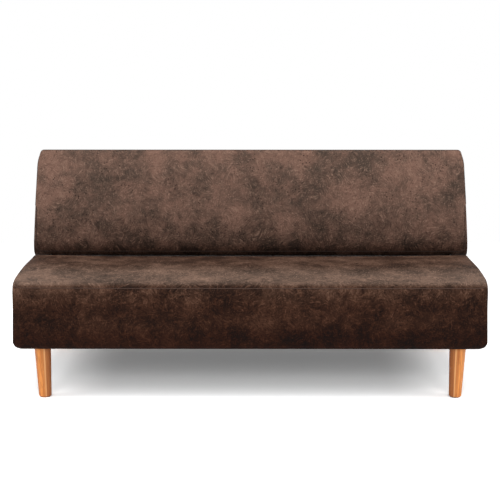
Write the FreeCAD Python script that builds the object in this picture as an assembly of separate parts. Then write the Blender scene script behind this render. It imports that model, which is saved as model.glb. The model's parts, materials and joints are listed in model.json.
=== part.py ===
import FreeCAD, Part
import math

# An armless futon: a padded seat on a wooden frame with four turned legs, and a padded back that
# folds down behind the seat on two ratchet hinges, so that seat and back make a flat bed.
# Sizes are in millimetres. +X runs along the seat, the front faces -Y and +Z is up, with the origin
# on the floor under the middle. The back is drawn lying flat behind the seat, and then it is raised
# about the hinge line to its sitting position.

# Overall sizes
OVERALL_WIDTH = 1700.0
SEAT_DEPTH = 555.0
REAR_BAY = 255.0
LEG_HEIGHT = 195.0
SEAT_THICKNESS = 243.0
BACK_LENGTH = 424.0
BACK_THICKNESS = 140.0
BACK_LEAN = 15.0
CREASE_GAP = 32.0
PIVOT_DEPTH = 28.0

# Covers, padding and their roundings
COVER = 2.0
SOFT_GAP = 0.3
EDGE_PADDING = 11.7
DUST_COVER = 1.5
FELT = 3.0
HEM_WIDTH = 33.0
HEM_RADIUS = 28.0
SEAT_FRONT_RADIUS = 40.0
SEAT_REAR_RADIUS = 42.0
INNER_CORNER_RADIUS = 12.0
BACK_CREASE_RADIUS = 45.0
BACK_HEEL_RADIUS = 30.0
BACK_TOP_RADIUS = 28.0
END_RADIUS = 26.0
SEAT_CROWN_RADIUS = 5000.0
BACK_CROWN_RADIUS = 4000.0

# Wooden frames
RAIL_THICKNESS = 25.0
DECK_THICKNESS = 6.0
BEARER_PITCH = 660.0
BLOCK_SIZE = 110.0
SLAT_WIDTH = 70.0
SLAT_THICKNESS = 12.0
SLAT_PITCH = 160.0
BACK_FRAME_THICKNESS = 48.0
BACK_RAIL_WIDTH = 40.0
STILE_WIDTH = 45.0
BACK_BOARD = 3.0
BUMPER_HEIGHT = 16.6
BUMPER_RADIUS = 15.0
BUMPER_PITCH = 400.0
BUMPER_COUNT = 4
BUMPER_SETBACK = 45.0

# Legs and their fittings
LEG_END_INSET = 93.0
LEG_SETBACK = 66.0
LEG_TOP_RADIUS = 30.5
LEG_FOOT_RADIUS = 23.0
LEG_FOOT_SHIFT = 5.0
LEG_FOOT_CHAMFER = 2.0
GLIDE_RADIUS = 19.0
GLIDE_HEIGHT = 3.0
GLIDE_PIN_RADIUS = 2.5
GLIDE_PIN_LENGTH = 12.0
PLATE_SIZE = 60.0
PLATE_THICKNESS = 3.0
PLATE_SCREW_OFFSET = 24.5
LEG_BOLT_RADIUS = 4.0
LEG_BOLT_IN_LEG = 45.0
LEG_BOLT_IN_BLOCK = 24.0

# Screws and bolts: shaft radius, shaft length, head radius, head height
FRAME_SCREW = (2.5, 65.0, 5.0, 3.0)
PLATE_SCREW = (2.0, 16.0, 3.5, 2.5)
HINGE_BOLT = (4.0, 30.0, 6.0, 5.0)
SCREW_HEIGHT_SHARES = (0.225, 0.775)
BACK_SCREW_EDGE = 15.0
BOLT_EDGE = 13.0
HOLE_CLEARANCE = 0.1

# Hinges
HINGE_PLATE = 6.0
HINGE_LAYER_GAP = 1.0
DISC_SIDE_GAP = 0.5
HUB_CLEARANCE = 1.2
ARM_COVER_GAP = 1.0
ARM_REAR = 9.0
ARM_FOOT_EDGE = 6.0
ARM_PAD_START = 50.0
ARM_PAD_END = 150.0
ARM_PAD_HEIGHT = 26.7
ARM_PAD_HALF_WIDTH = 15.0
ARM_BOLT_INSET = 25.0
PIN_RADIUS = 5.0
PIN_HEAD_RADIUS = 9.0
PIN_HEAD_HEIGHT = 4.0
PIN_CLEARANCE = 0.05
NOTCH_STEP = 37.5
NOTCH_COUNT = 3
NOTCH_ANGLE = -78.0
RELEASE_TILT = 10.0
NOTCH_RADIUS = 4.5
NOTCH_OUTSIDE = 1.0
DISC_TRIM = 0.5
NOSE_RADIUS = 3.0
PAWL_REACH = 14.8
PAWL_REACH_ANGLE = 52.0
PAWL_LIFT = 15.0
PAWL_HUB_RADIUS = 5.5
PAWL_PIN_RADIUS = 3.0
PAWL_PIN_HEAD = 5.5
PAWL_TAIL = 12.0
PAWL_TAIL_ANGLE = -100.0
PAWL_TAIL_RADIUS = 3.0
SPRING_THICKNESS = 1.0
SPRING_GAP = 0.2
SPRING_LENGTH = 42.0
SLOT_MARGIN = 1.0

V = FreeCAD.Vector
X_AXIS = V(1, 0, 0)
Z_AXIS = V(0, 0, 1)

# Places worked out from the sizes above
HALF_WIDTH = OVERALL_WIDTH / 2
FRONT = -(SEAT_DEPTH + REAR_BAY) / 2
REAR = -FRONT
SEAT_REAR = FRONT + SEAT_DEPTH
SEAT_HEIGHT = LEG_HEIGHT + SEAT_THICKNESS
FILL_INSET = COVER + SOFT_GAP
FRAME_INSET = FILL_INSET + EDGE_PADDING
END_FACE = HALF_WIDTH - FRAME_INSET
END_INNER = END_FACE - RAIL_THICKNESS
FRAME_FRONT = FRONT + FRAME_INSET
FRAME_REAR = REAR - FRAME_INSET
SEAT_FRAME_REAR = SEAT_REAR - FILL_INSET
PIVOT = V(0, SEAT_REAR + CREASE_GAP / 2, SEAT_HEIGHT - PIVOT_DEPTH)
BACK_NEAR = PIVOT.y + CREASE_GAP / 2
BACK_FAR = BACK_NEAR + BACK_LENGTH
BACK_UNDER = SEAT_HEIGHT - BACK_THICKNESS
BAND_TOP = BACK_UNDER - SOFT_GAP - BUMPER_HEIGHT
RAIL_BOTTOM = LEG_HEIGHT + FILL_INSET + DUST_COVER
RAIL_TOP = BAND_TOP - FILL_INSET
SLAT_TOP = RAIL_TOP + SLAT_THICKNESS
FELT_TOP = SLAT_TOP + FELT
HEM_CORNER = min(HEM_RADIUS, (BAND_TOP - LEG_HEIGHT) / 2 - 1)
END_FILLET = min(END_RADIUS, HEM_CORNER - 2, BACK_TOP_RADIUS - 2)
BACK_BOARD_UNDER = BACK_UNDER + FILL_INSET
BACK_FRAME_UNDER = BACK_BOARD_UNDER + BACK_BOARD
BACK_FRAME_TOP = BACK_FRAME_UNDER + BACK_FRAME_THICKNESS
BACK_FOAM_UNDER = BACK_FRAME_TOP + SLAT_THICKNESS
BACK_FRAME_NEAR = BACK_NEAR + FILL_INSET
BACK_FRAME_FAR = BACK_FAR - FRAME_INSET
ARM_FRONT = CREASE_GAP / 2 - ARM_COVER_GAP
ARM_PAD_DEPTH = PIVOT.z - BACK_FRAME_UNDER - ARM_PAD_HEIGHT
SLAT_COUNT = round((2 * END_FACE - SLAT_WIDTH) / SLAT_PITCH) + 1
SIDES = {"left": -1, "right": 1}

# Round corners of the seat cover seen from the end, as circle centre and radius, turning inwards
# where the radius is negative, and the crown radius of the side that follows each corner
SEAT_CORNERS = [
    (FRONT + HEM_CORNER, LEG_HEIGHT + HEM_CORNER, HEM_CORNER),
    (REAR - HEM_CORNER, LEG_HEIGHT + HEM_CORNER, HEM_CORNER),
    (REAR - HEM_CORNER, BAND_TOP - HEM_CORNER, HEM_CORNER),
    (SEAT_REAR + INNER_CORNER_RADIUS, BAND_TOP + INNER_CORNER_RADIUS, -INNER_CORNER_RADIUS),
    (SEAT_REAR - SEAT_REAR_RADIUS, SEAT_HEIGHT - SEAT_REAR_RADIUS, SEAT_REAR_RADIUS),
    (FRONT + SEAT_FRONT_RADIUS, SEAT_HEIGHT - SEAT_FRONT_RADIUS, SEAT_FRONT_RADIUS),
]
SEAT_CROWNS = [None, None, None, None, SEAT_CROWN_RADIUS, None]

# The same for the back cover, lying flat
BACK_CORNERS = [
    (BACK_NEAR + BACK_HEEL_RADIUS, BACK_UNDER + BACK_HEEL_RADIUS, BACK_HEEL_RADIUS),
    (BACK_FAR - BACK_TOP_RADIUS, BACK_UNDER + BACK_TOP_RADIUS, BACK_TOP_RADIUS),
    (BACK_FAR - BACK_TOP_RADIUS, SEAT_HEIGHT - BACK_TOP_RADIUS, BACK_TOP_RADIUS),
    (BACK_NEAR + BACK_CREASE_RADIUS, SEAT_HEIGHT - BACK_CREASE_RADIUS, BACK_CREASE_RADIUS),
]
BACK_CROWNS = [None, None, BACK_CROWN_RADIUS, None]

# Hinge layers at the right end, from the side rail inwards
SEAT_ARM_X = END_INNER - HINGE_PLATE
PAWL_X = SEAT_ARM_X - HINGE_LAYER_GAP - HINGE_PLATE
BACK_ARM_X = PAWL_X - HINGE_LAYER_GAP - HINGE_PLATE
STILE_INNER = END_FACE - STILE_WIDTH


def distance_to_corner(corner):
    """Free distance from the hinge line to the surface of one round cover corner."""
    return math.hypot(corner[0] - PIVOT.y, corner[1] - PIVOT.z) - corner[2]


HUB_RADIUS = min(distance_to_corner(SEAT_CORNERS[4]), distance_to_corner(BACK_CORNERS[3])) - HUB_CLEARANCE
DISC_RADIUS = HUB_RADIUS - DISC_TRIM
NOTCH_CENTRE = DISC_RADIUS + NOTCH_OUTSIDE


def around(centre, radius, degrees):
    """Point at a distance and an angle from another one, seen from the right end."""
    angle = math.radians(degrees)
    return V(0, centre.y + radius * math.cos(angle), centre.z + radius * math.sin(angle))


NOSE_ENGAGED = around(PIVOT, NOTCH_CENTRE, NOTCH_ANGLE)
PAWL_PIVOT = around(NOSE_ENGAGED, -PAWL_REACH, PAWL_REACH_ANGLE)
NOSE_LIFTED = around(PAWL_PIVOT, PAWL_REACH, PAWL_REACH_ANGLE - PAWL_LIFT)
PAWL_TAIL_END = around(PAWL_PIVOT, PAWL_TAIL, PAWL_TAIL_ANGLE)


def block(x_low, x_high, y_low, y_high, z_low, z_high):
    """Square-edged block between two limits along each axis."""
    return Part.makeBox(x_high - x_low, y_high - y_low, z_high - z_low, V(x_low, y_low, z_low))


def rod_along_x(centre, radius, x_low, x_high):
    """Round rod along X through a point seen from the end."""
    return Part.makeCylinder(radius, x_high - x_low, V(x_low, centre.y, centre.z), X_AXIS)


def fastener(sizes, seat, direction, clearance=0.0):
    """Headed screw with the underside of its head at seat, or its hole when it has a clearance."""
    shaft_radius, shaft_length, head_radius, head_height = sizes
    shaft = Part.makeCylinder(shaft_radius + clearance, shaft_length + clearance, seat, direction)
    head = Part.makeCylinder(head_radius + clearance, head_height, seat, -direction)
    return shaft.fuse(head).removeSplitter()


def fasteners(sizes, places, clearance=0.0):
    """The same screw at each seat and direction of a list."""
    return [fastener(sizes, seat, direction, clearance) for seat, direction in places]


def mirrored(shape, side):
    """A right-hand piece, or its mirror image for the left end."""
    return shape if side > 0 else shape.mirror(V(0, 0, 0), X_AXIS)


def raised(shape):
    """A piece of the back turned from lying flat to its sitting position."""
    turned = shape.copy()
    turned.rotate(PIVOT, X_AXIS, 90 - BACK_LEAN)
    return turned


def save(name, shapes):
    """Write one node from a shape or a list of separate shapes."""
    shape = Part.makeCompound(shapes) if isinstance(shapes, list) else shapes
    shape.exportStep(f"parts/{name}.step")


def save_back(name, shapes):
    """Write one node of the back, raised to its sitting position."""
    listed = shapes if isinstance(shapes, list) else [shapes]
    turned = [raised(shape) for shape in listed]
    save(name, turned if isinstance(shapes, list) else turned[0])


def side_of_outline(start, end, crown, inset):
    """Points and outward directions where one side leaves a corner circle and meets the next.

    A straight side is the outer tangent of both circles. A crowned side is an arc that touches
    both circles from outside, so that it leaves them smoothly.
    """
    first = V(0, start[0], start[1])
    last = V(0, end[0], end[1])
    first_radius = start[2] - inset
    last_radius = end[2] - inset
    span = last - first
    along = span / span.Length
    outward = V(0, along.z, -along.y)
    if crown is None:
        tilt = (first_radius - last_radius) / span.Length
        normal = along * tilt + outward * math.sqrt(1 - tilt * tilt)
        leave = first + normal * first_radius
        meet = last + normal * last_radius
        return leave, meet, normal, normal, None
    radius = crown - inset
    first_reach = radius - first_radius
    last_reach = radius - last_radius
    foot = (first_reach ** 2 - last_reach ** 2 + span.Length ** 2) / (2 * span.Length)
    centre = first + along * foot - outward * math.sqrt(first_reach ** 2 - foot ** 2)
    leave_normal = (first - centre) / first_reach
    meet_normal = (last - centre) / last_reach
    middle = leave_normal + meet_normal
    top = centre + middle / middle.Length * radius
    leave = centre + leave_normal * radius
    meet = centre + meet_normal * radius
    return leave, meet, leave_normal, meet_normal, top


def outline(corners, crowns, inset):
    """Closed wire round the corner circles, drawn inwards by an inset."""
    count = len(corners)
    sides = [side_of_outline(corners[i], corners[(i + 1) % count], crowns[i], inset) for i in range(count)]
    edges = []
    for i, (leave, meet, leave_normal, meet_normal, top) in enumerate(sides):
        if top is None:
            edges.append(Part.LineSegment(leave, meet).toShape())
        else:
            edges.append(Part.Arc(leave, top, meet).toShape())
        corner = corners[(i + 1) % count]
        next_leave, next_normal = sides[(i + 1) % count][0], sides[(i + 1) % count][2]
        bisector = meet_normal + next_normal
        centre = V(0, corner[0], corner[1])
        halfway = centre + bisector / bisector.Length * (corner[2] - inset)
        edges.append(Part.Arc(meet, halfway, next_leave).toShape())
    return Part.Wire(edges)


def padded_body(corners, crowns, inset):
    """Outline carried along the whole width, with its two end edges rounded over."""
    half = HALF_WIDTH - inset
    face = Part.Face(outline(corners, crowns, inset))
    face.translate(V(-half, 0, 0))
    body = face.extrude(V(2 * half, 0, 0))
    end_edges = [edge for edge in body.Edges if edge.BoundBox.XLength < 1e-6]
    return body.makeFillet(END_FILLET - inset, end_edges)


seat_outside = padded_body(SEAT_CORNERS, SEAT_CROWNS, 0)
seat_inside = padded_body(SEAT_CORNERS, SEAT_CROWNS, COVER)
seat_fill = padded_body(SEAT_CORNERS, SEAT_CROWNS, FILL_INSET)
back_outside = padded_body(BACK_CORNERS, BACK_CROWNS, 0)
back_inside = padded_body(BACK_CORNERS, BACK_CROWNS, COVER)
back_fill = padded_body(BACK_CORNERS, BACK_CROWNS, FILL_INSET)

# Fastener places of the base: two screws at each end of the three long rails, from outside
LONG_RAILS = {
    "front_rail": FRAME_FRONT,
    "rear_rail": FRAME_REAR - RAIL_THICKNESS,
    "seat_rear_rail": SEAT_FRAME_REAR - RAIL_THICKNESS,
}
screw_heights = [RAIL_BOTTOM + share * (RAIL_TOP - RAIL_BOTTOM) for share in SCREW_HEIGHT_SHARES]
screw_seat_x = END_FACE - FRAME_SCREW[3]
frame_screw_places = [
    (V(side * screw_seat_x, rail_front + RAIL_THICKNESS / 2, height), V(-side, 0, 0))
    for side in SIDES.values()
    for rail_front in LONG_RAILS.values()
    for height in screw_heights
]
frame_screw_holes = fasteners(FRAME_SCREW, frame_screw_places, HOLE_CLEARANCE)
save("frame_screws", fasteners(FRAME_SCREW, frame_screw_places))

# Bolts of the hinge arms on the side rails, and of the back arms on the stiles, at the right end
seat_bolt_y = PIVOT.y + (ARM_REAR - ARM_FRONT) / 2
seat_bolt_places = [
    (V(SEAT_ARM_X, seat_bolt_y, height), X_AXIS)
    for height in (RAIL_BOTTOM + BOLT_EDGE, RAIL_TOP - BOLT_EDGE)
]
back_bolt_places = [
    (V(BACK_ARM_X, PIVOT.y + along, PIVOT.z - ARM_PAD_DEPTH), X_AXIS)
    for along in (ARM_PAD_START + ARM_BOLT_INSET, ARM_PAD_END - ARM_BOLT_INSET)
]
seat_bolt_holes = fasteners(HINGE_BOLT, seat_bolt_places, HOLE_CLEARANCE)
back_bolt_holes = fasteners(HINGE_BOLT, back_bolt_places, HOLE_CLEARANCE)

# Legs: centre of the top and the foot of each
LEG_X = HALF_WIDTH - LEG_END_INSET
LEG_Y = {"front": FRONT + LEG_SETBACK, "rear": REAR - LEG_SETBACK}
leg_top = RAIL_BOTTOM - PLATE_THICKNESS
leg_tops = {
    f"{end}_{name}": V(side * LEG_X, y, leg_top)
    for end, y in LEG_Y.items()
    for name, side in SIDES.items()
}


def leg_bolt(top, clearance=0.0):
    """Bolt from inside a leg through its plate into the corner block."""
    start = top - Z_AXIS * LEG_BOLT_IN_LEG
    length = LEG_BOLT_IN_LEG + PLATE_THICKNESS + LEG_BOLT_IN_BLOCK
    return Part.makeCylinder(LEG_BOLT_RADIUS + clearance, length, start, Z_AXIS)


def glide(foot, clearance=0.0):
    """Low disc under a leg with a pin that is driven into the wood."""
    disc = Part.makeCylinder(GLIDE_RADIUS, GLIDE_HEIGHT, V(foot.x, foot.y, 0), Z_AXIS)
    pin_radius = GLIDE_PIN_RADIUS + clearance
    pin = Part.makeCylinder(pin_radius, GLIDE_HEIGHT + GLIDE_PIN_LENGTH, V(foot.x, foot.y, 0), Z_AXIS)
    return disc.fuse(pin).removeSplitter()


def leg_foot(top):
    """Centre of a leg's foot, shifted towards the middle of the futon."""
    return V(top.x - math.copysign(LEG_FOOT_SHIFT, top.x), top.y, GLIDE_HEIGHT)


def turned_leg(top):
    """Round tapered leg that leans slightly inwards, with an eased foot."""
    foot = leg_foot(top)
    rings = [
        (foot, LEG_FOOT_RADIUS - LEG_FOOT_CHAMFER),
        (foot + Z_AXIS * LEG_FOOT_CHAMFER, LEG_FOOT_RADIUS),
        (top, LEG_TOP_RADIUS),
    ]
    wires = [Part.Wire(Part.makeCircle(radius, centre, Z_AXIS)) for centre, radius in rings]
    body = Part.makeLoft(wires, True, True)
    return body.cut([leg_bolt(top, HOLE_CLEARANCE), glide(foot, HOLE_CLEARANCE)])


def leg_plate(top):
    """Square steel plate on top of a leg."""
    half = PLATE_SIZE / 2
    plate = block(top.x - half, top.x + half, top.y - half, top.y + half, top.z, RAIL_BOTTOM)
    return plate.cut([leg_bolt(top, HOLE_CLEARANCE)] + plate_screw_holes)


plate_screw_places = [
    (V(top.x + across * PLATE_SCREW_OFFSET, top.y + along * PLATE_SCREW_OFFSET, leg_top), Z_AXIS)
    for top in leg_tops.values()
    for across in (-1, 1)
    for along in (-1, 1)
]
plate_screw_holes = fasteners(PLATE_SCREW, plate_screw_places, HOLE_CLEARANCE)
leg_bolt_holes = [leg_bolt(top, HOLE_CLEARANCE) for top in leg_tops.values()]

for name, top in leg_tops.items():
    save(f"{name}_leg", turned_leg(top))
    save(f"{name}_glide", glide(leg_foot(top)))
save("leg_plates", [leg_plate(top) for top in leg_tops.values()])
save("leg_plate_screws", fasteners(PLATE_SCREW, plate_screw_places))
save("leg_bolts", [leg_bolt(top) for top in leg_tops.values()])

# Rails of the base, with their outer edges rounded over to suit the cover
for name, rail_front in LONG_RAILS.items():
    blank = block(-END_INNER, END_INNER, rail_front, rail_front + RAIL_THICKNESS, RAIL_BOTTOM, RAIL_TOP)
    save(name, seat_fill.common(blank).cut(frame_screw_holes))
for name, side in SIDES.items():
    blank = mirrored(block(END_INNER, END_FACE, FRAME_FRONT, FRAME_REAR, RAIL_BOTTOM, RAIL_TOP), side)
    bolt_holes = [mirrored(hole, side) for hole in seat_bolt_holes]
    save(f"{name}_side_rail", seat_fill.common(blank).cut(frame_screw_holes + bolt_holes))

# Cross bearers before and behind the seat's rear rail, and blocks in the four corners
bearer_top = RAIL_TOP - DECK_THICKNESS
bearer_runs = [
    (FRAME_FRONT + RAIL_THICKNESS, SEAT_FRAME_REAR - RAIL_THICKNESS),
    (SEAT_FRAME_REAR, FRAME_REAR - RAIL_THICKNESS),
]
bearer_half = RAIL_THICKNESS / 2
bearers = [
    block(middle - bearer_half, middle + bearer_half, run[0], run[1], RAIL_BOTTOM, bearer_top)
    for middle in (-BEARER_PITCH / 2, BEARER_PITCH / 2)
    for run in bearer_runs
]
save("cross_bearers", bearers)

corner_starts = (FRAME_FRONT + RAIL_THICKNESS, FRAME_REAR - RAIL_THICKNESS - BLOCK_SIZE)
block_inner = END_INNER - BLOCK_SIZE
corner_blocks = [
    mirrored(block(block_inner, END_INNER, start, start + BLOCK_SIZE, RAIL_BOTTOM, bearer_top), side)
    for side in SIDES.values()
    for start in corner_starts
]
save("corner_blocks", [blank.cut(plate_screw_holes + leg_bolt_holes) for blank in corner_blocks])


def slat_row(y_low, y_high, z_low):
    """Slats from front to rear, evenly spread from one end face to the other."""
    step = (2 * END_FACE - SLAT_WIDTH) / (SLAT_COUNT - 1)
    starts = [-END_FACE + step * i for i in range(SLAT_COUNT)]
    return [block(x, x + SLAT_WIDTH, y_low, y_high, z_low, z_low + SLAT_THICKNESS) for x in starts]


seat_slats = slat_row(FRAME_FRONT, SEAT_FRAME_REAR, RAIL_TOP)
save("seat_slats", [seat_fill.common(slat) for slat in seat_slats])

# Soft layers of the seat, each cut from what fills the cover
felt_room = block(-END_FACE, END_FACE, FRAME_FRONT, SEAT_FRAME_REAR, SLAT_TOP, FELT_TOP)
save("seat_felt_pad", seat_fill.common(felt_room))
foam_room = block(-HALF_WIDTH, HALF_WIDTH, FRONT, SEAT_FRAME_REAR, FELT_TOP, 2 * SEAT_HEIGHT)
save("seat_foam", seat_fill.common(foam_room))
front_room = block(-END_FACE, END_FACE, FRONT, FRAME_FRONT, RAIL_BOTTOM, FELT_TOP)
save("front_edge_padding", seat_fill.common(front_room))
rear_room = block(-END_FACE, END_FACE, FRAME_REAR, REAR, RAIL_BOTTOM, FELT_TOP)
save("rear_edge_padding", seat_fill.common(rear_room))
for name, side in SIDES.items():
    end_room = mirrored(block(END_FACE, HALF_WIDTH, FRONT, REAR, RAIL_BOTTOM, FELT_TOP), side)
    save(f"{name}_edge_padding", seat_fill.common(end_room))

# Seat cover: a skin over seat and base, open below inside its hem, with a slot for each hinge arm
hem_x = HALF_WIDTH - HEM_WIDTH
hem_opening = block(-hem_x, hem_x, FRONT + HEM_WIDTH, REAR - HEM_WIDTH, 0, LEG_HEIGHT + FILL_INSET)
arm_slot = block(
    SEAT_ARM_X - SLOT_MARGIN,
    END_INNER + SLOT_MARGIN,
    SEAT_REAR,
    PIVOT.y + ARM_REAR + SLOT_MARGIN,
    bearer_top,
    BAND_TOP + INNER_CORNER_RADIUS,
)
arm_slots = [mirrored(arm_slot, side) for side in SIDES.values()]
save("seat_cover", seat_outside.cut([seat_inside, hem_opening] + arm_slots))

# Deck that closes the bay behind the seat, flush with the rails and notched round the hinge arms
deck_rear = FRAME_REAR - RAIL_THICKNESS
deck = block(-END_INNER, END_INNER, SEAT_FRAME_REAR, deck_rear, bearer_top, RAIL_TOP)
save("rear_deck", deck.cut(arm_slots))

dust_half_x = HALF_WIDTH - HEM_RADIUS
dust_front = FRONT + HEM_RADIUS
dust_sheet = block(-dust_half_x, dust_half_x, dust_front, -dust_front, RAIL_BOTTOM - DUST_COVER, RAIL_BOTTOM)
plate_opening = PLATE_SIZE / 2 + SLOT_MARGIN
plate_openings = [
    block(
        top.x - plate_opening,
        top.x + plate_opening,
        top.y - plate_opening,
        top.y + plate_opening,
        LEG_HEIGHT,
        RAIL_TOP,
    )
    for top in leg_tops.values()
]
save("dust_cover", dust_sheet.cut(plate_openings))

bumper_y = REAR - BUMPER_SETBACK
bumper_xs = [BUMPER_PITCH * (i - (BUMPER_COUNT - 1) / 2) for i in range(BUMPER_COUNT)]
bumpers = [
    Part.makeCylinder(BUMPER_RADIUS, BUMPER_HEIGHT, V(x, bumper_y, BAND_TOP), Z_AXIS) for x in bumper_xs
]
save("back_rest_bumpers", bumpers)


def seat_arm():
    """Steel bar bolted inside the side rail, rising behind the seat to the hinge hub."""
    foot = RAIL_BOTTOM + BOLT_EDGE - HINGE_BOLT[2] - ARM_FOOT_EDGE
    bar = block(SEAT_ARM_X, END_INNER, PIVOT.y - ARM_FRONT, PIVOT.y + ARM_REAR, foot, PIVOT.z)
    hub = rod_along_x(PIVOT, HUB_RADIUS, SEAT_ARM_X, END_INNER)
    pin_hole = rod_along_x(PIVOT, PIN_RADIUS + PIN_CLEARANCE, SEAT_ARM_X, END_INNER)
    pawl_hole = rod_along_x(PAWL_PIVOT, PAWL_PIN_RADIUS + PIN_CLEARANCE, SEAT_ARM_X, END_INNER)
    return bar.fuse(hub).removeSplitter().cut([pin_hole, pawl_hole] + seat_bolt_holes)


def back_arm_blank():
    """Steel arm of the back, lying flat: a hub, a slanting link and a pad let into the stile."""
    pad_top = PIVOT.z - ARM_PAD_DEPTH + ARM_PAD_HALF_WIDTH
    pad_under = PIVOT.z - ARM_PAD_DEPTH - ARM_PAD_HALF_WIDTH
    link = V(0, ARM_PAD_START, -ARM_PAD_DEPTH)
    across = V(0, -link.z, link.y) / link.Length * HUB_RADIUS
    corners = [
        PIVOT + across,
        PIVOT - across,
        V(0, PIVOT.y + ARM_PAD_START, pad_under),
        V(0, PIVOT.y + ARM_PAD_END, pad_under),
        V(0, PIVOT.y + ARM_PAD_END, pad_top),
        V(0, PIVOT.y + ARM_PAD_START, pad_top),
    ]
    face = Part.Face(Part.makePolygon(corners + corners[:1]))
    face.translate(X_AXIS * BACK_ARM_X)
    plate = face.extrude(X_AXIS * HINGE_PLATE)
    hub = rod_along_x(PIVOT, HUB_RADIUS, BACK_ARM_X, BACK_ARM_X + HINGE_PLATE)
    return plate.fuse(hub).removeSplitter()


def back_arm():
    """The arm with its pivot hole and its bolt holes."""
    pin_hole = rod_along_x(PIVOT, PIN_RADIUS + PIN_CLEARANCE, BACK_ARM_X, SEAT_ARM_X)
    return back_arm_blank().cut([pin_hole] + back_bolt_holes)


def lever(start, start_radius, end, end_radius, x_low, x_high):
    """Flat lever with two round ends and straight flanks that touch both."""
    along = end - start
    flank = V(0, -along.z, along.y) / along.Length
    corners = [
        start + flank * start_radius,
        start - flank * start_radius,
        end - flank * end_radius,
        end + flank * end_radius,
    ]
    face = Part.Face(Part.makePolygon(corners + corners[:1]))
    face.translate(X_AXIS * x_low)
    web = face.extrude(X_AXIS * (x_high - x_low))
    ends = [rod_along_x(start, start_radius, x_low, x_high), rod_along_x(end, end_radius, x_low, x_high)]
    return web.fuse(ends)


def ratchet_disc():
    """Notched disc on the back arm, drawn in the sitting position, with one notch for each position.

    The first notch is drawn out into a slot, so that the back can tip forwards out of its hold.
    """
    x_low = BACK_ARM_X + HINGE_PLATE
    x_high = SEAT_ARM_X - DISC_SIDE_GAP
    disc = rod_along_x(PIVOT, DISC_RADIUS, x_low, x_high)
    angles = [NOTCH_ANGLE + NOTCH_STEP * i for i in range(NOTCH_COUNT)]
    centres = [around(PIVOT, NOTCH_CENTRE, angle) for angle in angles]
    notches = [rod_along_x(centre, NOTCH_RADIUS, x_low, x_high) for centre in centres]
    released = around(PIVOT, NOTCH_CENTRE, NOTCH_ANGLE - RELEASE_TILT)
    slot = lever(centres[0], NOTCH_RADIUS, released, NOTCH_RADIUS, x_low, x_high)
    pin_hole = rod_along_x(PIVOT, PIN_RADIUS + PIN_CLEARANCE, x_low, x_high)
    return disc.cut(notches + [slot, pin_hole])


def pawl():
    """Pawl lifted clear of the ratchet disc, with a nose, a bored hub and a tail for its spring."""
    x_high = PAWL_X + HINGE_PLATE
    nose = lever(PAWL_PIVOT, PAWL_HUB_RADIUS, NOSE_LIFTED, NOSE_RADIUS, PAWL_X, x_high)
    tail = lever(PAWL_PIVOT, PAWL_HUB_RADIUS, PAWL_TAIL_END, PAWL_TAIL_RADIUS, PAWL_X, x_high)
    hole = rod_along_x(PAWL_PIVOT, PAWL_PIN_RADIUS + PIN_CLEARANCE, PAWL_X, x_high)
    return nose.fuse(tail).removeSplitter().cut(hole)


def pawl_spring():
    """Leaf spring on the edge of the seat arm, in front of the pawl's tail."""
    rear = PAWL_TAIL_END.y - PAWL_TAIL_RADIUS - SPRING_GAP
    top = PAWL_TAIL_END.z + PAWL_TAIL_RADIUS
    inner_side = PAWL_X + HINGE_LAYER_GAP
    return block(inner_side, SEAT_ARM_X, rear - SPRING_THICKNESS, rear, top - SPRING_LENGTH, top)


def hinge_pin():
    """Pivot pin with a riveted head outside each arm."""
    inner_head = rod_along_x(PIVOT, PIN_HEAD_RADIUS, BACK_ARM_X - PIN_HEAD_HEIGHT, BACK_ARM_X)
    shaft = rod_along_x(PIVOT, PIN_RADIUS, BACK_ARM_X, END_INNER)
    outer_head = rod_along_x(PIVOT, PIN_HEAD_RADIUS, END_INNER, END_INNER + PIN_HEAD_HEIGHT)
    return shaft.fuse([inner_head, outer_head]).removeSplitter()


def pawl_pin():
    """Pawl pin through the seat arm, headed on its outer side."""
    shaft = rod_along_x(PAWL_PIVOT, PAWL_PIN_RADIUS, PAWL_X, END_INNER)
    head = rod_along_x(PAWL_PIVOT, PAWL_PIN_HEAD, END_INNER, END_INNER + PIN_HEAD_HEIGHT)
    return shaft.fuse(head).removeSplitter()


seat_bolts = fasteners(HINGE_BOLT, seat_bolt_places)
back_bolts = fasteners(HINGE_BOLT, back_bolt_places)
for name, side in SIDES.items():
    save(f"{name}_hinge_seat_arm", mirrored(seat_arm(), side))
    save_back(f"{name}_hinge_back_arm", mirrored(back_arm(), side))
    save(f"{name}_ratchet_disc", mirrored(ratchet_disc(), side))
    save(f"{name}_pawl", mirrored(pawl(), side))
    save(f"{name}_pawl_spring", mirrored(pawl_spring(), side))
save("hinge_pins", [mirrored(hinge_pin(), side) for side in SIDES.values()])
save("pawl_pins", [mirrored(pawl_pin(), side) for side in SIDES.values()])
save("hinge_seat_bolts", [mirrored(bolt, side) for side in SIDES.values() for bolt in seat_bolts])
save_back("hinge_back_bolts", [mirrored(bolt, side) for side in SIDES.values() for bolt in back_bolts])

# Frame of the back, lying flat: two rails between two stiles
BACK_RAILS = {
    "back_bottom_rail": BACK_FRAME_NEAR,
    "back_top_rail": BACK_FRAME_FAR - BACK_RAIL_WIDTH,
}
back_screw_height = BACK_FRAME_UNDER + BACK_SCREW_EDGE
back_screw_places = [
    (V(side * screw_seat_x, rail_near + BACK_RAIL_WIDTH / 2, back_screw_height), V(-side, 0, 0))
    for side in SIDES.values()
    for rail_near in BACK_RAILS.values()
]
back_screw_holes = fasteners(FRAME_SCREW, back_screw_places, HOLE_CLEARANCE)
back_arm_blanks = [mirrored(back_arm_blank(), side) for side in SIDES.values()]
for name, rail_near in BACK_RAILS.items():
    rail_far = rail_near + BACK_RAIL_WIDTH
    blank = block(-STILE_INNER, STILE_INNER, rail_near, rail_far, BACK_FRAME_UNDER, BACK_FRAME_TOP)
    save_back(name, back_fill.common(blank).cut(back_screw_holes + back_arm_blanks))
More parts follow.
